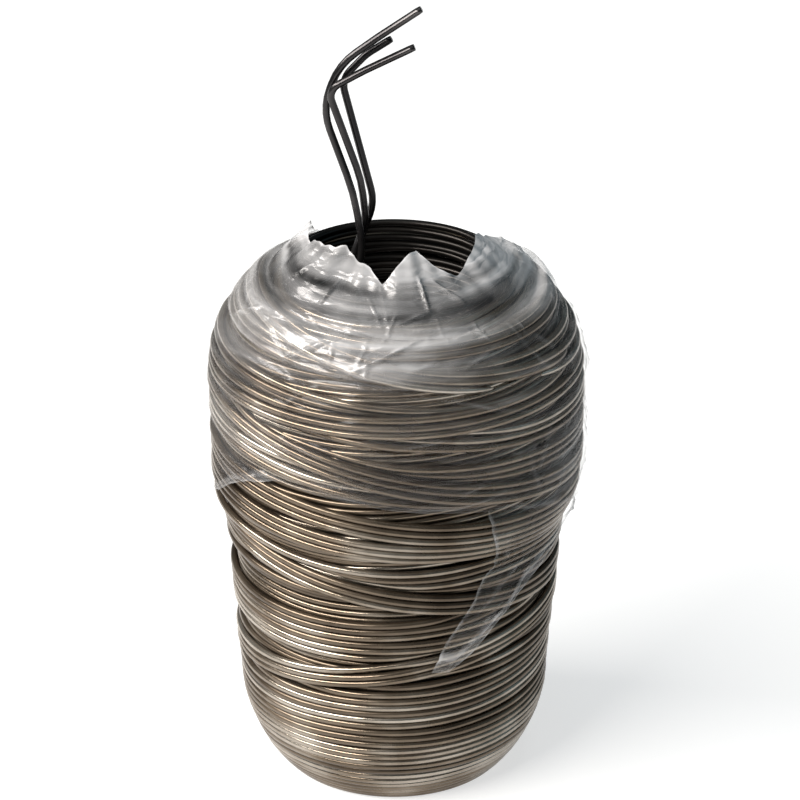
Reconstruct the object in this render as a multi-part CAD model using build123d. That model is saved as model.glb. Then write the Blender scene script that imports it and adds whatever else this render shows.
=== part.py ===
"""Coil of annealed tying wire, stood on end, with its three free ends and its clear film hood.

Millimetres. +Z runs up the coil's axis and the floor is z = 0. -Y is the front.
"""
from build123d import *
import os
from math import atan2, cos, degrees, radians, sin, sqrt, tan

os.makedirs("parts", exist_ok=True)

# Wire
WIRE_D = 2.2
WIRE_SIDES = 6

# Winding: a barrel of level turns, fuller above its waist, with rounded ends
BORE_R = 26.0
HEIGHT = 162.0
FOOT_TURNS = 4
FOOT_ROUND_R = 42.0
WAIST_R = 50.4
WAIST_Z = 84.0
TAPER_DEG = 4.0
STEP_OUT = 4.0
STEP_RISE = 7.5
SHOULDER_R = 33.0
RIM_ROUND_R = 1.6

# Bands up the wall, each of several strands side by side, with the layer below showing in the gaps between them
BAND_STRANDS = 3
BAND_GAP = 3.0

# Turns that show on the two ends, each a crest between two grooves, flattened where the foot stands on it
END_TURNS_BELOW = 1
END_TURNS_ABOVE = 3
GROOVE = 0.45
FOOT_LAND = 1.0

# Facets that stand for each round of the profile
FOOT_FACETS = 3
SHOULDER_FACETS = 3
RIM_FACETS = 2

# Above the ledge one layer of the bore has already been drawn out
LEDGE_Z = 112.0

# Free ends, each drawn off the ledge along the bore wall and up out of the mouth
SEAT_GAP = 0.25
WALL_LAY_DEG = 50.0
LIFT_RUN = 9.0

# Film hood
FILM_GAP = 0.75
FILM_T = 0.5
FILM_BENDS = 2
HEM_Z = 93.0
LIP = 15.0
TONGUE_AZIMUTH = 42.0
TONGUE_TIP = (-22.0, 51.0)
TONGUE_TIP_WIDTH = 5.0
TONGUE_LEFT = (-8.0, 82.0)
TONGUE_RIGHT = (24.0, 82.0)


# Outer profile of the winding, drawn as radius against height, from the foot up to the rim.
# The foot rounding is tangent to the tapered lower wall and ends at the last turn of the flat foot.
foot = Vector(BORE_R + FOOT_TURNS * WIRE_D, 0)
waist = Vector(WAIST_R, WAIST_Z)
taper = radians(TAPER_DEG)
up_wall = Vector(sin(taper), cos(taper))
to_centre = Vector(-cos(taper), sin(taper)) * FOOT_ROUND_R
reach = waist + to_centre - foot
run = reach.dot(up_wall)
wall_length = run - sqrt(run**2 - reach.length**2 + FOOT_ROUND_R**2)
wall_foot = waist - up_wall * wall_length
foot_centre = wall_foot + to_centre
foot_angle = degrees(atan2(foot.Y - foot_centre.Y, foot.X - foot_centre.X))

# Above the waist the winding steps out to its upright upper wall.
step_top = waist + Vector(STEP_OUT, STEP_RISE)
upper_r = step_top.X

# The shoulder leaves the upright wall and runs in to the small round of the rim.
mouth_r = BORE_R + WIRE_D
rim_centre = Vector(mouth_r + RIM_ROUND_R, HEIGHT - RIM_ROUND_R)
shoulder_across = rim_centre.X - (upper_r - SHOULDER_R)
shoulder_up = sqrt((SHOULDER_R - RIM_ROUND_R) ** 2 - shoulder_across**2)
shoulder_centre = Vector(upper_r - SHOULDER_R, rim_centre.Y - shoulder_up)
shoulder_angle = degrees(atan2(shoulder_up, shoulder_across))
plain_angle = shoulder_angle - degrees(END_TURNS_ABOVE * WIRE_D / SHOULDER_R)
shoulder = CenterArc(shoulder_centre, SHOULDER_R, 0, plain_angle)
rim = CenterArc(rim_centre, RIM_ROUND_R, shoulder_angle, 180 - shoulder_angle)


def along(edge, facets):
    """Points along a profile edge."""
    return [edge @ (step / facets) for step in range(facets + 1)]


def turned(points):
    """A closed profile turned about Z."""
    profile = make_face(Polyline(*points, close=True))
    return revolve(Plane.XZ * profile, Axis.Z)


def turns(count, at, land=0.0):
    """Profile of turns side by side; at gives the point at a distance along the end and a depth under it."""
    points = []
    for turn in range(count):
        start = turn * WIRE_D
        middle = start + WIRE_D / 2
        points.append(at(start, GROOVE))
        points.append(at(middle - land / 2, 0))
        if land:
            points.append(at(middle + land / 2, 0))
    return points + [at(count * WIRE_D, GROOVE)]


def on_arc(centre, radius, start_angle):
    """Places turns round an arc, from an angle upwards."""
    return lambda distance, depth: centre + Vector(radius - depth, 0).rotate(
        Axis.Z, start_angle + degrees(distance / radius))


def bands(low, high):
    """Profile of the bands between two points up the wall; each one stands upright on the layer below."""
    reach = high.Y - low.Y
    count = round((reach + BAND_GAP) / (BAND_STRANDS * WIRE_D + BAND_GAP))
    pitch = (reach + BAND_GAP) / count
    band_height = pitch - BAND_GAP
    points = []
    for band in range(count):
        bottom_z = low.Y + band * pitch
        top_z = bottom_z + band_height
        band_r = low.X + (high.X - low.X) * (bottom_z + band_height / 2 - low.Y) / reach
        points += [Vector(band_r, bottom_z), Vector(band_r, top_z)]
        if band < count - 1:
            points.append(Vector(band_r - WIRE_D, top_z + BAND_GAP / 2))
    return points


def wire_coil():
    """The whole winding as one turned solid with its bore."""
    # The innermost turns stand flat on the floor and the next ones climb the foot rounding.
    points = turns(FOOT_TURNS, lambda distance, depth: Vector(BORE_R + distance, depth), FOOT_LAND)
    points += turns(END_TURNS_BELOW, on_arc(foot_centre, FOOT_ROUND_R, foot_angle))
    climbed = foot_angle + degrees(END_TURNS_BELOW * WIRE_D / FOOT_ROUND_R)
    points += along(CenterArc(foot_centre, FOOT_ROUND_R, climbed, -TAPER_DEG - climbed), FOOT_FACETS)[:-1]

    # Bands lie up the tapered lower wall and, past the step, up the upright one.
    points += bands(wall_foot, waist)
    points += bands(step_top, shoulder @ 0)

    # The last turns lie on the shoulder round the mouth.
    points += along(shoulder, SHOULDER_FACETS)[1:]
    points += turns(END_TURNS_ABOVE, on_arc(shoulder_centre, SHOULDER_R, plain_angle))

    # Rim, drawn-out upper bore, ledge and bore.
    points += along(rim, RIM_FACETS)
    points += [Vector(mouth_r, LEDGE_Z), Vector(BORE_R, LEDGE_Z)]
    return turned(points)


def bent_wire(edges, points, radii):
    """Tube of wire: the given first edges, then straight runs between points with a bend at each."""
    here = points[0]
    for before, corner, after, radius in zip(points, points[1:], points[2:], radii):
        arriving = (corner - before).normalized()
        leaving = (after - corner).normalized()
        half_turn = radians(arriving.get_angle(leaving)) / 2
        setback = radius * tan(half_turn)
        begin = corner - arriving * setback
        end = corner + leaving * setback
        inwards = (leaving - arriving).normalized()
        middle = corner + inwards * (radius / cos(half_turn) - radius)
        if (begin - here).length > 0.01:
            edges.append(Line(here, begin))
        edges.append(ThreePointArc(begin, middle, end))
        here = end
    edges.append(Line(here, points[-1]))
    path = Wire(edges)
    section = Plane(origin=path @ 0, z_dir=path % 0) * RegularPolygon(WIRE_D / 2, WIRE_SIDES)
    tube = sweep(section, path=path)
    print(f"free end: length {path.length:.1f}, volume {tube.volume:.1f} of {section.area * path.length:.1f},",
          "bends", [round(radius, 1) for radius in radii])
    return tube


def free_end(strand, leave_deg, route, radii):
    """A free end that lies on the ledge along the bore wall, lifts off it and follows its route.

    strand counts the free ends up from the ledge, leave_deg is where on the wall it lifts off, and
    the route's points are in X, Y and height above the rim.
    """
    lay_r = mouth_r - SEAT_GAP - WIRE_D / 2
    lay_z = LEDGE_Z + SEAT_GAP + WIRE_D / 2 + strand * (WIRE_D + SEAT_GAP)
    on_wall = [Vector(lay_r, 0, lay_z).rotate(Axis.Z, leave_deg + turn)
               for turn in (WALL_LAY_DEG, WALL_LAY_DEG / 2, 0)]
    heading = Vector(0, -1, 0).rotate(Axis.Z, leave_deg)
    lift = on_wall[2] + heading * LIFT_RUN
    points = [on_wall[2], lift] + [Vector(x, y, HEIGHT + up) for x, y, up in route]
    lift_turn = radians(heading.get_angle(points[2] - lift)) / 2
    return bent_wire([ThreePointArc(*on_wall)], points, [LIFT_RUN / tan(lift_turn)] + radii)


# Routes of the three free ends, from the mouth to the sheared tip, and the radius of each bend.
LONG_ROUTE = [(-8.4, 2.0, 0), (-11.6, 2.0, 20), (-20.4, 4.0, 45), (-15.5, 4.0, 58.5),
              (-4.0, 4.0, 67), (7.8, 4.0, 75.1)]
LONG_BENDS = [24.0, 60.0, 18.0, 20.0, 60.0]
MIDDLE_ROUTE = [(-8.0, 4.7, 10), (-9.4, 4.5, 23), (-18.7, 1.4, 51.8), (-8.4, 1.4, 57.6), (5.9, 1.4, 64.7)]
MIDDLE_BENDS = [14.0, 40.0, 4.5, 60.0]
SHORT_ROUTE = [(-5.6, 7.4, 15), (-14.9, 6.6, 53), (-7.8, 6.6, 60.6), (-0.6, 6.6, 65.3)]
SHORT_BENDS = [14.0, 7.0, 12.0]


def film_hood():
    """Clear film drawn over the shoulder, with a lip over the bore and a torn tongue at the front right."""
    # It is taut, so it runs straight from one touch on the shoulder to the next and leaves the last as the lip.
    half_bend = radians(plain_angle) / FILM_BENDS / 2
    sides = []
    for out in (FILM_GAP, FILM_GAP + FILM_T):
        outwards = Vector(out, 0)
        side = [wall_foot + outwards, waist + outwards, step_top + outwards]
        film_r = SHOULDER_R + out
        for bend in range(FILM_BENDS):
            corner = Vector(film_r / cos(half_bend), 0)
            side.append(shoulder_centre + corner.rotate(Axis.Z, degrees(half_bend) * (2 * bend + 1)))
        side.append(shoulder_centre + Vector(film_r, LIP).rotate(Axis.Z, plain_angle))
        sides.append(side)
    sleeve = turned(sides[0] + sides[1][::-1])

    # Everything below the hem is torn away, apart from the tongue.
    azimuth = radians(TONGUE_AZIMUTH)
    front_right = Plane(
        origin=(0, 0, 0),
        x_dir=(cos(azimuth), sin(azimuth), 0),
        z_dir=(sin(azimuth), -cos(azimuth), 0),
    )
    tip_right = (TONGUE_TIP[0] + TONGUE_TIP_WIDTH, TONGUE_TIP[1])
    outline = [TONGUE_TIP, tip_right, TONGUE_RIGHT, (TONGUE_RIGHT[0], HEM_Z), (TONGUE_LEFT[0], HEM_Z), TONGUE_LEFT]
    tongue = extrude(front_right * make_face(Polyline(*outline, close=True)), 2 * upper_r)
    below = Pos(0, 0, HEM_Z / 2) * Cylinder(2 * upper_r, HEM_Z)
    return sleeve - (below - tongue)


parts = {
    "wire_coil": wire_coil(),
    "wire_end_short": free_end(0, 184, SHORT_ROUTE, SHORT_BENDS),
    "wire_end_middle": free_end(1, 190, MIDDLE_ROUTE, MIDDLE_BENDS),
    "wire_end_long": free_end(2, 196, LONG_ROUTE, LONG_BENDS),
    "film_hood": film_hood(),
}

for name, part in parts.items():
    export_step(part, f"parts/{name}.step")
    print(name, f"{part.volume / 1000:.1f} cm3", part.bounding_box())
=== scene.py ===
"""Coil of annealed tying wire, half covered by torn clear film, dressed over its CAD frame.

Metres. +Z runs up the coil's axis and the floor is z = 0. -Y is the front, and an azimuth is
measured from the front towards +X.
"""
from math import cos, pi, radians, sin, tan

import bmesh
import bpy
import numpy as np
from mathutils import Matrix, Vector


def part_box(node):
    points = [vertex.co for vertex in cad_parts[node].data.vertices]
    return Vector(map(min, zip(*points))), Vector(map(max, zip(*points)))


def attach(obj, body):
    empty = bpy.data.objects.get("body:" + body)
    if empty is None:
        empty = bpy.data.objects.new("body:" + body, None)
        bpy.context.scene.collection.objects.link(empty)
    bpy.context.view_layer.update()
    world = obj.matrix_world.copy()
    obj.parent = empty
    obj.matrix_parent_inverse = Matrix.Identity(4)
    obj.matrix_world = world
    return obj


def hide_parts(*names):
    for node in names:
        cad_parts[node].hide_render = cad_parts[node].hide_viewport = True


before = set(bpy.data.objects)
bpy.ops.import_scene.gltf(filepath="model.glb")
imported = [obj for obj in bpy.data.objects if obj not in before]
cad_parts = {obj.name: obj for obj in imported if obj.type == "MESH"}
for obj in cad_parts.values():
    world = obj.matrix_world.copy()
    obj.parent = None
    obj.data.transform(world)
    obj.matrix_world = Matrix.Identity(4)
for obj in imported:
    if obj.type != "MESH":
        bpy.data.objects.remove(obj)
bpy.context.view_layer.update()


# Winding
# Steel tying wire, drawn, annealed dark in a furnace and wound three strands at a time into a barrel.
# Level turns lie underneath, and flat bands of three strands cross over them at small angles.
WIRE_D = 0.0022
TURN_STEPS = 160
WIRE_SIDES = 8
HIDDEN_SIDES = 6
DEEP_SIDES = 5
BAND_STRANDS = 3
BAND_PITCH = 1.03 * WIRE_D
MOUTH_R = 0.0282
seed = np.random.default_rng(11)
angle = np.arange(TURN_STEPS) * 2 * pi / TURN_STEPS
azimuth = angle + pi / 2


def smooth_round(rows, steps):
    """Rows of values round a turn, smoothed by a bell that many steps wide."""
    reach = np.arange(-3 * steps, 3 * steps + 1)
    bell = np.exp(-0.5 * (reach / steps) ** 2)
    return sum(np.roll(rows, shift, axis=-1) * weight for shift, weight in zip(reach, bell / bell.sum()))


class Outline:
    """The winding's outer line in a plane through its axis, read off the CAD solid, from foot to rim."""

    def __init__(self, node, inside_r, step=0.0005, rounding=5):
        widest = {}
        for vertex in node.data.vertices:
            height = round(vertex.co.z, 4)
            radius = vertex.co.xy.length
            if radius > inside_r:
                widest[height] = max(radius, widest.get(height, 0))
        z = np.array(sorted(widest))
        r = np.array([widest[height] for height in z])
        # The rings sunk in the gaps between the solid's bands are left out: the wires lie over them.
        sunk = np.zeros(len(z), bool)
        sunk[1:-1] = (r[1:-1] < r[:-2]) & (r[1:-1] < r[2:])
        z, r = z[~sunk], r[~sunk]
        run = np.concatenate([[0], np.cumsum(np.hypot(np.diff(r), np.diff(z)))])
        self.run = np.arange(0, run[-1], step)
        self.length = self.run[-1]
        reach = np.arange(-4 * rounding, 4 * rounding + 1)
        bell = np.exp(-0.5 * (reach / rounding) ** 2)
        bell /= bell.sum()
        self.r, self.z = (
            np.convolve(np.pad(np.interp(self.run, run, line), 4 * rounding, "reflect", reflect_type="odd"),
                        bell, "valid")
            for line in (r, z)
        )
        self.out_r = np.gradient(self.z)
        self.out_z = -np.gradient(self.r)
        slope = np.hypot(self.out_r, self.out_z)
        self.out_r /= slope
        self.out_z /= slope

    def place(self, run, out):
        """Radius and height of points at a distance along the line and a distance out from it."""
        radius = np.interp(run, self.run, self.r) + out * np.interp(run, self.run, self.out_r)
        height = np.interp(run, self.run, self.z) + out * np.interp(run, self.run, self.out_z)
        return radius, height

    def run_at(self, z):
        """Distance along the line at a height."""
        return np.interp(z, self.z, self.run)


def piece_of(name, bm):
    """The piece that a finished bmesh makes, smooth shaded."""
    mesh = bpy.data.meshes.new(name)
    bm.to_mesh(mesh)
    bm.free()
    mesh.polygons.foreach_set("use_smooth", np.ones(len(mesh.polygons), bool))
    piece = bpy.data.objects.new(name, mesh)
    bpy.context.scene.collection.objects.link(piece)
    return piece


def wound_wire(name, radius, height, sides=WIRE_SIDES):
    """Turns of round wire, one for each row of radius and height round the axis.

    A rack of level rings is spun first, and each ring is then bent to its own row.
    """
    rack_r = 0.05
    rack_gap = 0.01
    rows, steps = radius.shape
    bm = bmesh.new()
    for row in range(rows):
        upright = Matrix.Translation((rack_r, 0, row * rack_gap)) @ Matrix.Rotation(pi / 2, 4, "X")
        bmesh.ops.create_circle(bm, segments=sides, radius=WIRE_D / 2, matrix=upright)
    bmesh.ops.spin(bm, geom=bm.verts[:] + bm.edges[:], axis=(0, 0, 1), cent=(0, 0, 0),
                   angle=2 * pi, steps=steps, use_merge=True)
    bmesh.ops.recalc_face_normals(bm, faces=bm.faces)
    piece = piece_of(name, bm)
    mesh = piece.data
    place = np.empty(len(mesh.vertices) * 3)
    mesh.vertices.foreach_get("co", place)
    x, y, z = place.reshape(-1, 3).T
    row = np.rint(z / rack_gap).astype(int)
    step = np.rint(np.arctan2(y, x) / (2 * pi) * steps).astype(int) % steps
    section_r = np.hypot(x, y) - rack_r
    section_z = z - row * rack_gap
    turn_r = radius[row, step] + section_r
    turn_angle = step * 2 * pi / steps
    turn_z = height[row, step] + section_z
    bent = np.stack([turn_r * np.cos(turn_angle), turn_r * np.sin(turn_angle), turn_z], axis=1)
    mesh.vertices.foreach_set("co", bent.ravel())
    tint = mesh.attributes.new("turn_tint", "FLOAT", "POINT")
    tint.data.foreach_set("value", seed.random(rows)[row])
    mesh.update()
    return piece


class Socket:
    """A shader value that can be used in Python expressions; each operation adds a Math node."""

    def __init__(self, finish, socket):
        self.finish = finish
        self.socket = socket

    def math(self, operation, *values):
        return self.finish.node("ShaderNodeMath", {"operation": operation}, *values)

    def __add__(self, other):
        return self.math("ADD", self, other)

    def __sub__(self, other):
        return self.math("SUBTRACT", self, other)

    def __rsub__(self, other):
        return self.math("SUBTRACT", other, self)

    def __mul__(self, other):
        return self.math("MULTIPLY", self, other)

    def __truediv__(self, other):
        return self.math("DIVIDE", self, other)

    def __rtruediv__(self, other):
        return self.math("DIVIDE", other, self)

    __radd__ = __add__
    __rmul__ = __mul__


class Finish:
    """A material and its shader."""

    def __init__(self, name, **constants):
        self.material = bpy.data.materials.new(name)
        self.material.use_nodes = True
        self.tree = self.material.node_tree
        self.shader = self.tree.nodes["Principled BSDF"]
        for socket, value in constants.items():
            self.shader.inputs[socket.replace("_", " ")].default_value = value

    def node(self, kind, settings=None, *values, output=0, **named):
        """Any node: its settings are set first, then its sockets by order or by name."""
        made = self.tree.nodes.new(kind)
        for setting, value in (settings or {}).items():
            if setting == "stops":
                ramp = made.color_ramp.elements
                while len(ramp) < len(value):
                    ramp.new(0.5)
                for stop, (position, colour) in zip(ramp, value):
                    stop.position = position
                    stop.color = (*colour, 1)
            else:
                setattr(made, setting, value)
        by_name = [(name.replace("_", " "), value) for name, value in named.items()]
        for place, value in [*enumerate(values), *by_name]:
            self.link(made.inputs[place], value)
        return Socket(self, made.outputs[output])

    def link(self, socket, value):
        if isinstance(value, Socket):
            self.tree.links.new(value.socket, socket)
        else:
            socket.default_value = value

    def feed(self, **sockets):
        """Links what varies over the surface to the shader's sockets."""
        for name, value in sockets.items():
            self.link(self.shader.inputs[name.replace("_", " ")], value)


def wire_finish(name, dull, middling, rubbed, roughness):
    """Annealed steel: brown oxide, rubbed bright in places, each turn with its own tint, unevenly oiled."""
    finish = Finish(name, Metallic=0.8)
    place = finish.node("ShaderNodeTexCoord", output="Object")
    turn = finish.node("ShaderNodeAttribute", {"attribute_name": "turn_tint"}, output="Fac")
    cloud = finish.node("ShaderNodeTexNoise", None, Vector=place, Scale=45.0, Detail=4.0)
    grain = finish.node("ShaderNodeTexNoise", None, Vector=place, Scale=900.0, Detail=2.0)
    tone = cloud * 1.5 + turn * 0.6 - 0.55
    stops = [(0.0, dull), (0.5, middling), (1.0, rubbed)]
    finish.feed(
        Base_Color=finish.node("ShaderNodeValToRGB", {"stops": stops}, tone),
        Roughness=roughness + 0.2 * cloud - 0.1 * turn,
        Normal=finish.node("ShaderNodeBump", None, Height=grain, Strength=0.12, Distance=0.0002),
    )
    return finish.material


outline = Outline(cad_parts["wire_coil"], MOUTH_R + 0.001)
wound_length = outline.length - 2 * WIRE_D
UNDER_DEPTH = 2.4 * WIRE_D

# How far the bands drop from the left side to the right, by height; the layer below leans the other way.
TILT_HEIGHTS = [0.0, 0.02, 0.045, 0.065, 0.085, 0.1, 0.12, 0.15, 0.162]
TILT_DROPS = [0.0, -0.002, -0.003, 0.0, 0.005, 0.009, 0.006, 0.005, 0.0]
LEVEL_ENDS = 0.02
GAPS_FROM = 0.045


def band_line(centre, lean, stray):
    """Distance along the outline of a band's middle, round the coil."""
    height = outline.place(centre, 0)[1]
    ease = np.clip(min(centre, wound_length - centre) / LEVEL_ENDS, 0, 1)
    drop = lean * np.interp(height, TILT_HEIGHTS, TILT_DROPS) + seed.normal(0, stray)
    wave = sum(
        seed.normal(0, stray / order) * np.sin(order * azimuth + seed.uniform(0, 2 * pi))
        for order in (2, 3)
    )
    return centre + ease * (wave - drop * np.sin(azimuth))


def strands_of(line):
    """The strands of one band, side by side, each wandering a little."""
    return [line + (strand - 1) * BAND_PITCH + smooth_round(seed.normal(0, 0.0008, TURN_STEPS), 10)
            for strand in range(BAND_STRANDS)]


def wound_layer(lean, stray, gap=0):
    """Bands from foot to rim, none in each other, with a gap after every second one above the foot."""
    rows = []
    centre = 1.5 * BAND_PITCH
    while centre < wound_length - BAND_PITCH:
        rows += strands_of(band_line(centre, lean, stray))
        centre += BAND_STRANDS * BAND_PITCH
        if centre > GAPS_FROM and len(rows) % (2 * BAND_STRANDS) == 0:
            centre += gap * seed.uniform(0.7, 1.3)
    packed = np.arange(len(rows))[:, None] * 0.99 * WIRE_D
    slack = np.array(rows) - packed
    up = np.maximum.accumulate(slack, axis=0)
    down = np.minimum.accumulate(slack[::-1], axis=0)[::-1]
    return np.clip(smooth_round((up + down) / 2 + packed, 2), WIRE_D / 2, wound_length)


def rest_on(lines, laid_run, laid_by):
    """How far out strands lie where they rest on what is laid already, eased as stiff wire does."""
    rests = []
    for line in lines:
        apart = np.abs(laid_run - line)
        over = np.sqrt(np.clip(WIRE_D ** 2 - apart ** 2, 0, None))
        rest = np.where(apart < WIRE_D, laid_by + over, 0).max(axis=0)
        held = np.max([np.roll(rest, shift) for shift in range(-4, 5)], axis=0)
        rests.append(smooth_round(held, 3))
    return np.array(rests)


under_run = np.tile(np.arange(WIRE_D / 2, wound_length, WIRE_D)[:, None], TURN_STEPS)
under_by = np.zeros_like(under_run)
inner_run = wound_layer(-0.5, 0.0012)
inner_by = rest_on(inner_run, under_run, under_by)
outer_run = wound_layer(1.0, 0.0014, gap=0.005)
outer_by = rest_on(outer_run, inner_run, inner_by)

# A few bands were wound last and press into the rest where they cross it.
CROSSING_BANDS = [(0.054, -0.005), (0.08, 0.006), (0.121, 0.006), (0.139, -0.005), (0.155, 0.006)]
PRESS = 0.85 * WIRE_D
for centre, drop in CROSSING_BANDS:
    crossing_run = np.array(strands_of(band_line(centre, 1.0, 0.0005) - drop * np.sin(azimuth)))
    crossing_by = rest_on(crossing_run, outer_run, outer_by) - PRESS
    near = np.abs(outer_run[:, None] - crossing_run).min(axis=1)
    outer_by -= PRESS * smooth_round(np.clip(1.6 - near / WIRE_D, 0, 1), 2)
    outer_run = np.vstack([outer_run, crossing_run])
    outer_by = np.vstack([outer_by, crossing_by])
# Under the film the winding has slumped out to the right.
SLUMP = 0.0016
SLUMP_WIDTH = radians(34)
SLUMP_HEIGHT = 0.119
SLUMP_TALL = 0.032
from_right = (angle + pi) % (2 * pi) - pi
for run, by in ((inner_run, inner_by), (outer_run, outer_by)):
    above = (outline.place(run, 0)[1] - SLUMP_HEIGHT) / SLUMP_TALL
    by += SLUMP * np.exp(-(from_right / SLUMP_WIDTH) ** 2 - above ** 2)

annealed = wire_finish("annealed_wire", dull=(0.065, 0.047, 0.032), middling=(0.17, 0.133, 0.097),
                       rubbed=(0.42, 0.375, 0.32), roughness=0.2)
# The turns above the waist and those below it are two pieces.
waist_run = outline.run_at(0.095)
below = outer_run.mean(axis=1) < waist_run
layers = {
    "winding_below": (outer_run[below], outer_by[below], WIRE_SIDES),
    "winding_above": (outer_run[~below], outer_by[~below], WIRE_SIDES),
    "winding_inner": (inner_run, inner_by, HIDDEN_SIDES),
    "winding_under": (under_run, under_by, DEEP_SIDES),
}
for name, (rows, by, sides) in layers.items():
    winding = wound_wire(name, *outline.place(rows, by - UNDER_DEPTH), sides=sides)
    winding.data.materials.append(annealed)
    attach(winding, "root")
    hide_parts("wire_coil")


# Bore and foot
# The innermost turns, which line the bore, and the few that stand flat on the floor.
# Above the ledge one layer has been drawn out, so the bore is one wire wider there.
BORE_R = 0.026
LEDGE_Z = 0.112
FOOT_TURNS = 4
rim_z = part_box("wire_coil")[1].z
lower_z = np.arange(WIRE_D / 2, LEDGE_Z, WIRE_D)
upper_z = np.arange(rim_z - WIRE_D / 2, LEDGE_Z + WIRE_D / 2, -WIRE_D)
foot_r = BORE_R + WIRE_D / 2 + WIRE_D * np.arange(1, FOOT_TURNS)
rim_r = MOUTH_R + 1.5 * WIRE_D
rim_turn_z = rim_z - 0.8 * WIRE_D
bore_r = np.concatenate([
    np.full(len(lower_z), BORE_R + WIRE_D / 2),
    np.full(len(upper_z), MOUTH_R + WIRE_D / 2),
    foot_r,
    [rim_r],
])
bore_z = np.concatenate([lower_z, upper_z, np.full(len(foot_r), WIRE_D / 2), [rim_turn_z]])
lay = smooth_round(seed.normal(0, 0.0016, (len(bore_r), TURN_STEPS)), 12)
bore_radius = bore_r[:, None] + np.abs(lay)
bore_height = bore_z[:, None] + np.where(bore_z < WIRE_D, 0, 1)[:, None] * lay
bore_turns = wound_wire("bore_turns", bore_radius, bore_height, sides=HIDDEN_SIDES)
# These turns are the winding's own wire in a much darker copy of its finish: painted shade for the dim
# inside of the bore, on the foot turns and the rim turn too.
painted_shade_annealed = wire_finish("painted_shade_annealed_wire", dull=(0.012, 0.011, 0.010), middling=(0.025, 0.022, 0.02),
                            rubbed=(0.06, 0.052, 0.046), roughness=0.26)
bore_turns.data.materials.append(painted_shade_annealed)
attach(bore_turns, "root")


# Free ends
# The three strands at the inside of the coil, pulled up out of the bore by hand and bent over.
# They are the same wire as the winding, cut off with pliers that pinched their tips.
SEAT_GAP = 0.00025
WALL_LAY = radians(50)
LIFT_RUN = 0.009
BEND_STEP = radians(8)
TIP_RUN = 0.6 * WIRE_D
TIP_SPREAD = 0.3
TIP_FLATTEN = 0.15


def pushed(bm, ring, by):
    """A ring of edges extruded along a straight run."""
    made = bmesh.ops.extrude_edge_only(bm, edges=ring)["geom"]
    verts = [part for part in made if isinstance(part, bmesh.types.BMVert)]
    bmesh.ops.translate(bm, vec=by, verts=verts)
    return [part for part in made if isinstance(part, bmesh.types.BMEdge)]


def bent(bm, ring, middle, axis, turn):
    """A ring of edges spun round a bend."""
    steps = max(2, round(turn / BEND_STEP))
    made = bmesh.ops.spin(bm, geom=ring, cent=middle, axis=axis, angle=turn, steps=steps)["geom_last"]
    return [part for part in made if isinstance(part, bmesh.types.BMEdge)]


def free_end(strand, leave, route, radii):
    """A free end that lies on the ledge along the bore wall, lifts off it and follows its route.

    strand counts the free ends up from the ledge, leave is where on the wall it lifts off, in degrees
    round the axis, and the route's points are in X, Y and height above ROUTE_BASE_Z.
    """
    lay_r = MOUTH_R - SEAT_GAP - WIRE_D / 2
    lay_z = LEDGE_Z + SEAT_GAP + WIRE_D / 2 + strand * (WIRE_D + SEAT_GAP)
    turned = Matrix.Rotation(radians(leave) + WALL_LAY, 4, "Z")
    upright = Matrix.Translation((lay_r, 0, lay_z)) @ Matrix.Rotation(pi / 2, 4, "X")
    bm = bmesh.new()
    bmesh.ops.create_circle(bm, segments=12, radius=WIRE_D / 2, cap_ends=True, matrix=turned @ upright)
    ring = bent(bm, bm.edges[:], (0, 0, 0), (0, 0, -1), WALL_LAY)
    wall = Matrix.Rotation(radians(leave), 3, "Z")
    here = wall @ Vector((lay_r, 0, lay_z))
    points = [here, here + wall @ Vector((0, -LIFT_RUN, 0))]
    points += [Vector((x, y, ROUTE_BASE_Z + up)) for x, y, up in route]
    lift_turn = (points[1] - here).angle(points[2] - points[1])
    bends = [LIFT_RUN / tan(lift_turn / 2), *radii]
    for before, corner, after, radius in zip(points, points[1:], points[2:], bends):
        arriving = (corner - before).normalized()
        leaving = (after - corner).normalized()
        turn = arriving.angle(leaving)
        begin = corner - arriving * radius * tan(turn / 2)
        if (begin - here).length > 1e-5:
            ring = pushed(bm, ring, begin - here)
        axis = arriving.cross(leaving).normalized()
        ring = bent(bm, ring, begin + axis.cross(arriving) * radius, axis, turn)
        here = corner + leaving * radius * tan(turn / 2)
    pinch = (points[-1] - here).normalized() * TIP_RUN
    ring = pushed(bm, ring, points[-1] - here - pinch)
    ring = pushed(bm, ring, pinch)
    # The pliers' jaws flatten the very tip and spread it into a burr.
    flat = pinch.cross((0, 1, 0)).normalized()
    wide = pinch.cross(flat).normalized()
    for vert in {vert for edge in ring for vert in edge.verts}:
        off = vert.co - points[-1]
        vert.co += wide * off.dot(wide) * TIP_SPREAD - flat * off.dot(flat) * TIP_FLATTEN
    bmesh.ops.contextual_create(bm, geom=ring)
    bmesh.ops.remove_doubles(bm, verts=bm.verts, dist=1e-6)
    bmesh.ops.recalc_face_normals(bm, faces=bm.faces)
    return bm


ROUTE_BASE_Z = 0.162
ROUTES = {
    "wire_end_long": (2, 196, [
        (-0.0084, 0.002, 0), (-0.0116, 0.002, 0.02), (-0.0204, 0.004, 0.045), (-0.0155, 0.004, 0.0585),
        (-0.004, 0.004, 0.067), (0.0078, 0.004, 0.0751),
    ], [0.024, 0.06, 0.018, 0.02, 0.06]),
    "wire_end_middle": (1, 190, [
        (-0.008, 0.0047, 0.01), (-0.0094, 0.0045, 0.023), (-0.0187, 0.0014, 0.0518),
        (-0.0084, 0.0014, 0.0576), (0.0059, 0.0014, 0.0647),
    ], [0.014, 0.04, 0.0045, 0.06]),
    "wire_end_short": (0, 184, [
        (-0.0056, 0.0074, 0.015), (-0.0149, 0.0066, 0.053), (-0.0078, 0.0066, 0.0606),
        (-0.0006, 0.0066, 0.0653),
    ], [0.014, 0.007, 0.012]),
}
oiled = wire_finish("oiled_wire", dull=(0.014, 0.013, 0.014), middling=(0.03, 0.028, 0.029),
                    rubbed=(0.1, 0.095, 0.095), roughness=0.18)
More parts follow.
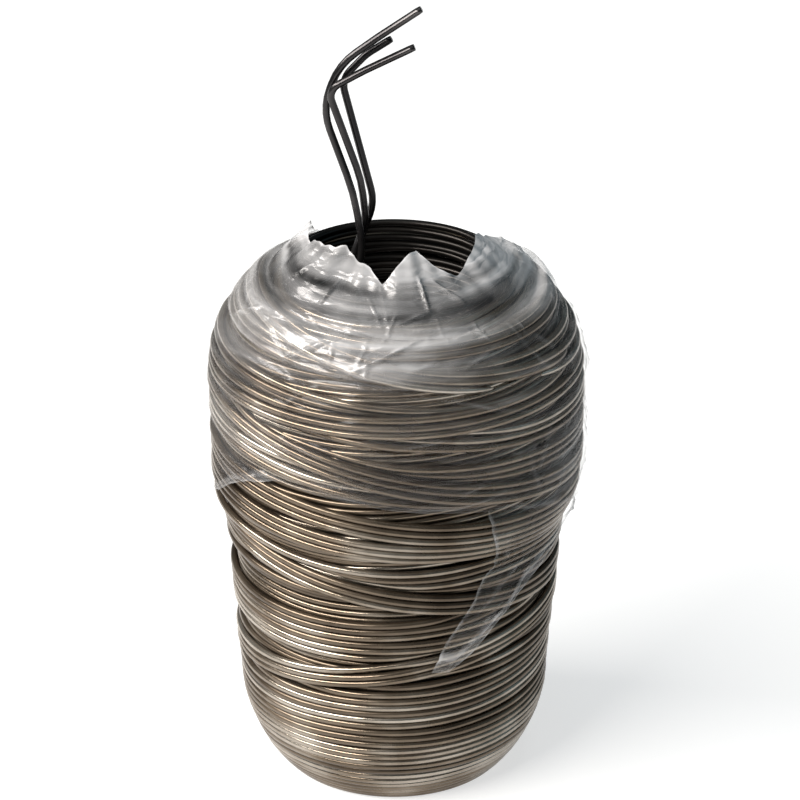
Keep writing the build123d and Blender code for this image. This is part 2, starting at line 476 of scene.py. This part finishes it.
for node, (strand, leave, route, radii) in ROUTES.items():
    wire_end = piece_of("free_" + node, free_end(strand, leave, route, radii))
    tint = wire_end.data.attributes.new("turn_tint", "FLOAT", "POINT")
    tint.data.foreach_set("value", np.full(len(wire_end.data.vertices), seed.random()))
    wire_end.data.materials.append(oiled)
    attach(wire_end, "root")
    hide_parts(node)


# Film hood
# Clear polythene, shrunk over the upper half of the coil and then torn open over the bore by hand.
# It clings to the turns, is milky where it is gathered on the shoulder, and one torn tongue hangs below.
FILM_COLUMNS = 480
FILM_ROWS = 165
TONGUE_ROWS = 48
FILM_STAND = 0.00025

# The film's edges by azimuth, in degrees: the lip's reach over the bore from where it leaves the
# shoulder, the hem's height, and the height of the tongue's torn end, in millimetres.
LIP_REACH = [(-180, -8), (-150, -6), (-134, 4), (-118, 12), (-102, 14), (-78, 17), (-50, 19), (-43, 21.5),
             (-34, 20.5), (-25, 18.5), (-17, 17.5), (-7, 12), (8, 18.5), (19, 21.5), (27, 17), (36, 13),
             (43, 12.5), (54, 14.5), (86, 16.5), (108, 12), (117, 8), (126, -3), (138, -7), (180, -8)]
HEM_HEIGHT = [(-180, 92), (-140, 88), (-110, 86), (-90, 88), (-75, 93), (-60, 103), (-50, 108), (-38, 111),
              (-12, 109), (3, 107), (20, 105), (33, 103), (50, 99), (70, 93), (90, 86), (110, 86), (140, 90),
              (180, 92)]
TONGUE_FROM = 31
TONGUE_TO = 90
TONGUE_END = [(31, 52), (36.8, 51.4), (42.8, 57.1), (45.5, 61), (47.5, 65), (50.2, 72), (67, 81),
              (78, 86), (90, 86)]
# How far the tongue leans over as it hangs: azimuth by height.
TONGUE_LEAN = [(52, -18), (61, -13), (65, -10), (73, -4), (81, 0), (84, 4), (98, 0)]
LEAVE_Z = 0.1592
LIP_RISE = radians(9)


def read(table, at):
    """A value between the entries of a table of pairs."""
    return np.interp(at, *zip(*table))


def slid(values, reach, pick):
    """The greatest, least or mean of the values within a reach along the outline, as picked."""
    padded = np.pad(values, ((0, 0), (reach, reach)), "edge")
    return pick([padded[:, shift:shift + values.shape[1]] for shift in range(2 * reach + 1)], axis=0)


# Outer surface of the turns under the film, on a grid of steps round the coil and runs along the outline.
GRID_RUN = 0.0004
grid = np.arange(0, outline.length, GRID_RUN)
crest = np.full((TURN_STEPS, len(grid)), -1.5 * WIRE_D)
for row, by in zip(np.vstack([inner_run, outer_run]), np.vstack([inner_by, outer_by])):
    apart = np.abs(grid - row[:, None])
    bulge = by[:, None] - UNDER_DEPTH + np.sqrt(np.clip((WIRE_D / 2) ** 2 - apart ** 2, 0, None))
    crest = np.maximum(crest, np.where(apart < WIRE_D / 2, bulge, -1))
cling = slid(slid(crest, 5, np.max), 4, np.min)
cling = smooth_round(cling.T, 1).T
cling = slid(cling, 1, np.mean)

# Past the shoulder the lip runs straight on over the bore, clear of the rim's turns, and draws the
# film before it up to its own line.
DRAWN_UP = 0.006
RIM_CLEAR = 0.85 * WIRE_D
leave_run = outline.run_at(LEAVE_Z)
leave_r, leave_z = outline.place(leave_run, 0)
lean = Matrix.Rotation(-LIP_RISE, 2)
lip_in, lip_up = Vector((np.interp(leave_run, outline.run, outline.out_z),
                         np.interp(leave_run, outline.run, outline.out_r))) @ lean
past = grid > leave_run
turn_r, turn_z = outline.place(grid[past], crest[:, past])
rim_out = ((turn_r - leave_r) * lip_up + (turn_z - leave_z) * lip_in).max(axis=1)
for r, z in [(MOUTH_R + WIRE_D / 2, rim_z - WIRE_D / 2), (rim_r, rim_turn_z)]:
    rim_out = np.maximum(rim_out, (r - leave_r) * lip_up + (z - leave_z) * lip_in + RIM_CLEAR)
rim_out = smooth_round(np.max([np.roll(rim_out, shift) for shift in range(-3, 4)], axis=0), 3)
at_leave = cling[:, np.searchsorted(grid, leave_run)]
drawn = np.clip((grid - leave_run) / DRAWN_UP + 1, 0, 1) ** 1.5
cling += np.clip(rim_out - at_leave, 0, None)[:, None] * drawn
near_rim = grid > leave_run - DRAWN_UP
cling[:, near_rim] = smooth_round(cling[:, near_rim].T, 3).T

# A flat sheet, cut out with its tongue, whose columns go round the coil and whose rows run up it.
bm = bmesh.new()
bmesh.ops.create_grid(bm, x_segments=FILM_COLUMNS, y_segments=FILM_ROWS + TONGUE_ROWS, size=0.5)
bmesh.ops.scale(bm, vec=(360, FILM_ROWS + TONGUE_ROWS, 1), verts=bm.verts)
bmesh.ops.translate(bm, vec=(0, (FILM_ROWS + TONGUE_ROWS) / 2 - TONGUE_ROWS, 0), verts=bm.verts)
cut_away = []
for face in bm.faces:
    middle = face.calc_center_median()
    if middle.y < 0 and not TONGUE_FROM < middle.x < TONGUE_TO:
        cut_away.append(face)
bmesh.ops.delete(bm, geom=cut_away, context="FACES")
flat = np.array([vert.co for vert in bm.verts])

# Where each point of the sheet lies round the coil and along the outline.
column = flat[:, 0]
above = np.clip(flat[:, 1] / FILM_ROWS, 0, None)
hang = np.clip(-flat[:, 1] / TONGUE_ROWS, 0, None)
hem_z = read(HEM_HEIGHT, column)
hang_z = hem_z + hang * (np.minimum(read(TONGUE_END, column), hem_z) - hem_z)
round_by = np.radians(column + np.where(hang > 0, read(TONGUE_LEAN, hang_z) - read(TONGUE_LEAN, hem_z), 0))
lip_run = leave_run + 0.001 * read(LIP_REACH, column)
hem_run = outline.run_at(0.001 * hem_z)
film_run = np.where(hang > 0, outline.run_at(0.001 * hang_z), hem_run + above * (lip_run - hem_run))

# Creases: long ones that follow the turns, short ones that gather the film in towards the bore.
crease_out = np.zeros(len(flat))
crease_mark = np.zeros(len(flat))


def crease(at_round, at_run, turned, length, width, height):
    """Presses one sharp fold into the film, tapering to its ends."""
    away = (round_by - at_round + pi) % (2 * pi) - pi
    x = away * np.interp(film_run, outline.run, outline.r)
    y = film_run - at_run
    along = x * cos(turned) + y * sin(turned)
    across = y * cos(turned) - x * sin(turned)
    taper = np.clip(1 - (2 * along / length) ** 2, 0, None)
    fold = np.clip(1 - np.abs(across) / width, 0, None) ** 1.4 * taper
    np.add(crease_out, fold * height, out=crease_out)
    np.maximum(crease_mark, fold, out=crease_mark)


LONG_CREASES = 110
GATHERS = 30
WRINKLES = 26
film_low = outline.run_at(0.088)
for _ in range(LONG_CREASES):
    crease(seed.uniform(-pi, pi), seed.uniform(film_low, leave_run), seed.normal(0.05, 0.25),
           seed.uniform(0.008, 0.04), seed.uniform(0.0006, 0.001), seed.uniform(0.0003, 0.0008))
for _ in range(GATHERS):
    crease(seed.uniform(-pi, pi), leave_run + seed.uniform(-0.016, 0.004), pi / 2 + seed.normal(0, 0.5),
           seed.uniform(0.006, 0.018), seed.uniform(0.0006, 0.001), seed.uniform(0.0002, 0.0005))
# The right side is wrinkled every way.
for _ in range(WRINKLES):
    crease(radians(seed.uniform(50, 108)), outline.run_at(seed.uniform(0.096, 0.152)), seed.uniform(0, pi),
           seed.uniform(0.006, 0.016), seed.uniform(0.0007, 0.0012), seed.uniform(0.0003, 0.0007))
# The deepest folds at the front: azimuth, height, slope and length, in degrees and millimetres.
FOLD_WIDTH = 0.001
FOLD_HEIGHT = 0.0012
FOLDS = [
    (-3, 152, 28, 26), (-30, 152, 36, 24), (-70, 152.5, 38, 15), (10, 159.5, 20, 13), (-31, 140, 40, 13),
    (52, 120, 70, 22), (58, 104, 60, 18), (47, 112, 110, 15), (38, 77, 46, 26), (33, 66, 50, 18),
    (38, 88, 100, 12), (47, 84, 40, 22), (-36, 163, 80, 11), (16, 164, 95, 12), (30, 162, 130, 12),
    (-62, 162, 60, 12),
]
for at, height, slope, length in FOLDS:
    crease(radians(at), outline.run_at(0.001 * height), radians(slope), 0.001 * length,
           FOLD_WIDTH, FOLD_HEIGHT)

step_at = (round_by - pi / 2) / (2 * pi) * TURN_STEPS
run_at = np.clip(np.minimum(film_run, leave_run) / GRID_RUN, 0, len(grid) - 1.001)
before, first = np.floor(step_at).astype(int), np.floor(run_at).astype(int)
part, share = step_at - before, run_at - first
film_out = sum(
    cling[(before + i) % TURN_STEPS, first + k] * (part if i else 1 - part) * (share if k else 1 - share)
    for i in (0, 1) for k in (0, 1)
) + FILM_STAND + crease_out + 0.0006 * hang

# The hem has drawn up into a roll, and the torn end of the tongue is doubled over.
to_hem = np.where(hang > 0, 1, film_run - hem_run)
rolled = np.clip(1 - np.abs(to_hem - 0.0016) / 0.0016, 0, 1)
to_end = np.where(hang > 0, (1 - hang) * (hem_z - read(TONGUE_END, column)) * 0.001, 1)
doubled = np.clip(1 - to_end / 0.005, 0, 1) ** 0.5
fold_line = np.clip(1 - np.abs(to_end - 0.0045) / 0.0009, 0, 1)
film_out += 0.0008 * rolled + 0.0006 * doubled + 0.0007 * fold_line
# It hangs slack down the right side, in ripples.
SLACK = 0.0004
slack = np.exp(-((np.degrees(round_by) - 84) / 26) ** 2) * np.clip((film_run - hem_run) / 0.008, 0, 1)
slack *= np.clip((leave_run - film_run) / 0.012, 0, 1)
film_out += SLACK * slack * (1 + 0.25 * np.sin(23 * round_by + 260 * film_run))

# Behind the bore on the right it has come loose and stands off the shoulder.
LOOSE = 0.0028
loose = np.exp(-((np.degrees(round_by) - 111) / 18) ** 2 - ((film_run - leave_run + 0.004) / 0.007) ** 2)
film_out += LOOSE * loose

free_run = np.clip(film_run - leave_run, 0, None)
radius, height = outline.place(np.minimum(film_run, leave_run), film_out)
radius -= lip_in * free_run
height += lip_up * free_run
# The lip's free edge flutters, and stands up at its left end.
flutter = 0.0012 * np.sin(5 * round_by + 0.6)
flutter += 0.0004 * np.sin(13 * round_by) + 0.0002 * np.sin(31 * round_by + 1)
flutter += 0.003 * np.exp(-((np.degrees(round_by) + 120) / 18) ** 2)
ease = np.clip(free_run / 0.012, 0, 1)
height += flutter * ease
for vert, r, z, at in zip(bm.verts, radius, height, round_by):
    vert.co = (r * sin(at), -r * cos(at), z)

# Milkiness: most on the lip, along creases and at the torn edges. On the lip it is greater on the side away
# from the key lamp: painted light that brightens the lip's shaded side.
over_tongue = (column > TONGUE_FROM) & (column < TONGUE_TO)
edge = np.clip(1 - (lip_run - film_run) / 0.001, 0, 1) + np.clip(1 - to_hem / 0.001, 0, 1) * ~over_tongue
edge += np.clip(1 - to_end / 0.001, 0, 1) + np.clip(1 - (column - TONGUE_FROM), 0, 1) * (hang > 0)
lit = (0.5 + 0.5 * np.cos(round_by + radians(55))) ** 2
lip = np.clip((free_run - 0.002) / 0.005, 0, 1)
haze = 0.028 + lip * (0.75 - 0.5 * lit)
# Milky patches: azimuth and height, half width in degrees, half height in millimetres, and strength. The two
# at the front of the shoulder, at -10 and -8 degrees, are partly painted highlight where the shoulder
# catches the light.
PATCHES = [
    (-62, 152, 45, 7, 0.28), (-10, 152, 30, 5, 0.5), (-8, 158, 30, 4, 0.26), (-118, 161, 26, 8, 0.34),
    (24, 155, 18, 5, 0.22), (-32, 160.5, 24, 3.5, 0.3), (88, 159, 28, 6, 0.5), (96, 164, 28, 6, 0.6),
    (88, 125, 16, 28, 0.14), (66, 108, 14, 12, 0.1), (-75, 130, 25, 20, 0.06), (114, 160, 18, 6, 0.45),
]
for at, middle, wide, tall, strength in PATCHES:
    away = (np.degrees(round_by) - at + 180) % 360 - 180
    haze += strength * np.exp(-(away / wide) ** 2 - ((1000 * height - middle) / tall) ** 2)
fold_mark = np.clip(1 - np.abs(to_end - 0.0045) / 0.002, 0, 1)
haze += 0.12 * crease_mark + 0.12 * rolled + 0.2 * doubled + 0.4 * fold_mark + 0.25 * np.clip(edge, 0, 1)
haze_and_painted_light_layer = bm.verts.layers.float.new("haze")
for vert, value in zip(bm.verts, haze):
    vert[haze_and_painted_light_layer] = value
bmesh.ops.remove_doubles(bm, verts=bm.verts, dist=1e-5)
bmesh.ops.recalc_face_normals(bm, faces=bm.faces)
film = piece_of("film", bm)

# The film's milk is a grey, not white: painted shade for the dim light that the milky film passes on from
# the dark turns and bore behind it.
film_finish = Finish("clear_film", Base_Color=(0.74, 0.73, 0.74, 1))
place = film_finish.node("ShaderNodeTexCoord", output="Object")
milky_and_painted_light = film_finish.node("ShaderNodeAttribute", {"attribute_name": "haze"}, output="Fac")
streaks = film_finish.node("ShaderNodeMapping", None, Vector=place, Scale=(22.0, 22.0, 160.0))
cloud = film_finish.node("ShaderNodeTexNoise", None, Vector=streaks, Scale=1.0, Detail=4.0)
crumple = film_finish.node("ShaderNodeMapping", None, Vector=place, Scale=(28.0, 28.0, 130.0))
sway = film_finish.node("ShaderNodeTexNoise", None, Vector=crumple, Scale=0.7, Detail=2.0, output="Color")
crumple = film_finish.node("ShaderNodeVectorMath", {"operation": "ADD"}, crumple, sway)
to_edge = {"feature": "DISTANCE_TO_EDGE"}
facets = film_finish.node("ShaderNodeTexVoronoi", to_edge, Vector=crumple, Scale=1.0)
small_facets = film_finish.node("ShaderNodeTexVoronoi", to_edge, Vector=crumple, Scale=2.7)
GLOSS = 0.015
GLOSSY_SHARE = 0.1
patchy = film_finish.node("ShaderNodeTexNoise", None, Vector=place, Scale=110.0, Detail=5.0)
along_turns = film_finish.node("ShaderNodeMapping", None, Vector=place, Rotation=(0.04, 0.07, 0.0),
                               Scale=(11.0, 11.0, 330.0))
ridges = film_finish.node("ShaderNodeTexNoise", None, Vector=along_turns, Scale=1.0, Detail=1.0)
# The milkiness comes in clouds, in patches and most of all in ridges along the turns. The ridges are partly
# painted highlight: streaks where the film over the turns would catch the light.
haze_and_painted_light_here = film_finish.node("ShaderNodeMath", {"operation": "MAXIMUM"},
                             milky_and_painted_light * (1.0 * cloud + 0.8 * patchy + 3.0 * ridges - 1.4), 0.0)
alpha = haze_and_painted_light_here + GLOSS
relief = facets + 0.3 * small_facets + 0.25 * ridges
film_finish.feed(
    Alpha=alpha,
    Metallic=(haze_and_painted_light_here * GLOSSY_SHARE + GLOSS) / alpha,
    Roughness=0.2 + 0.15 * haze_and_painted_light_here,
    Normal=film_finish.node("ShaderNodeBump", None, Height=relief, Strength=1.0, Distance=0.0022),
)
film.data.materials.append(film_finish.material)
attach(film, "root")
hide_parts("film_hood")


# Stage
# A plain pale floor, one long soft lamp at the left, weak ones at the right and above, in a dim even room.
FLOOR_SIZE = 6.0
bm = bmesh.new()
bmesh.ops.create_grid(bm, x_segments=1, y_segments=1, size=FLOOR_SIZE / 2)
floor = piece_of("floor", bm)
floor_paint = Finish("floor_paint", Base_Color=(0.65, 0.65, 0.65, 1), Roughness=0.9, Emission_Strength=0.62)
seen = floor_paint.node("ShaderNodeLightPath", output="Is Camera Ray")
seen += floor_paint.node("ShaderNodeLightPath", output="Is Glossy Ray")
seen += floor_paint.node("ShaderNodeLightPath", output="Is Transmission Ray")
floor_paint.feed(Emission_Color=seen)
floor.data.materials.append(floor_paint.material)


def lamp(name, from_azimuth, elevation, distance, width, height, watts, colour):
    """A soft lamp that faces the coil."""
    light = bpy.data.lights.new(name, "AREA")
    light.shape = "RECTANGLE"
    light.size = width
    light.size_y = height
    light.energy = watts
    light.color = colour
    holder = bpy.data.objects.new(name, light)
    bpy.context.scene.collection.objects.link(holder)
    away = Vector((
        cos(radians(elevation)) * sin(radians(from_azimuth)),
        -cos(radians(elevation)) * cos(radians(from_azimuth)),
        sin(radians(elevation)),
    ))
    holder.location = Vector((0, 0, 0.09)) + away * distance
    holder.rotation_euler = away.to_track_quat("Z", "Y").to_euler()


lamp("key_lamp", -66, 40, 1.3, 1.6, 0.35, 35, (1.0, 0.96, 0.91))
lamp("sky_lamp", 80, 25, 2.0, 1.2, 1.2, 1.4, (0.55, 0.85, 1.0))
lamp("top_lamp", 0, 88, 1.5, 1.0, 1.0, 3, (0.95, 0.98, 1.0))

world = bpy.data.worlds.new("studio")
world.use_nodes = True
world.node_tree.nodes["Background"].inputs["Color"].default_value = (0.68, 0.9, 1.0, 1)
world.node_tree.nodes["Background"].inputs["Strength"].default_value = 0.11
bpy.context.scene.world = world
bpy.context.scene.view_settings.view_transform = "Standard"

# The photograph's view: a long lens from a little above, aimed at the film's lower edge.
AIM = Vector((0.0018, 0, 0.1165))
VIEW_ELEVATION = radians(26.26)
VIEW_DISTANCE = 1.034
camera_data = bpy.data.cameras.new("camera")
camera_data.sensor_width = 36
camera_data.lens = 157.5
camera = bpy.data.objects.new("camera", camera_data)
bpy.context.scene.collection.objects.link(camera)
back = Vector((0, -cos(VIEW_ELEVATION), sin(VIEW_ELEVATION)))
camera.location = AIM + back * VIEW_DISTANCE
camera.rotation_euler = back.to_track_quat("Z", "Y").to_euler()
bpy.context.scene.camera = camera
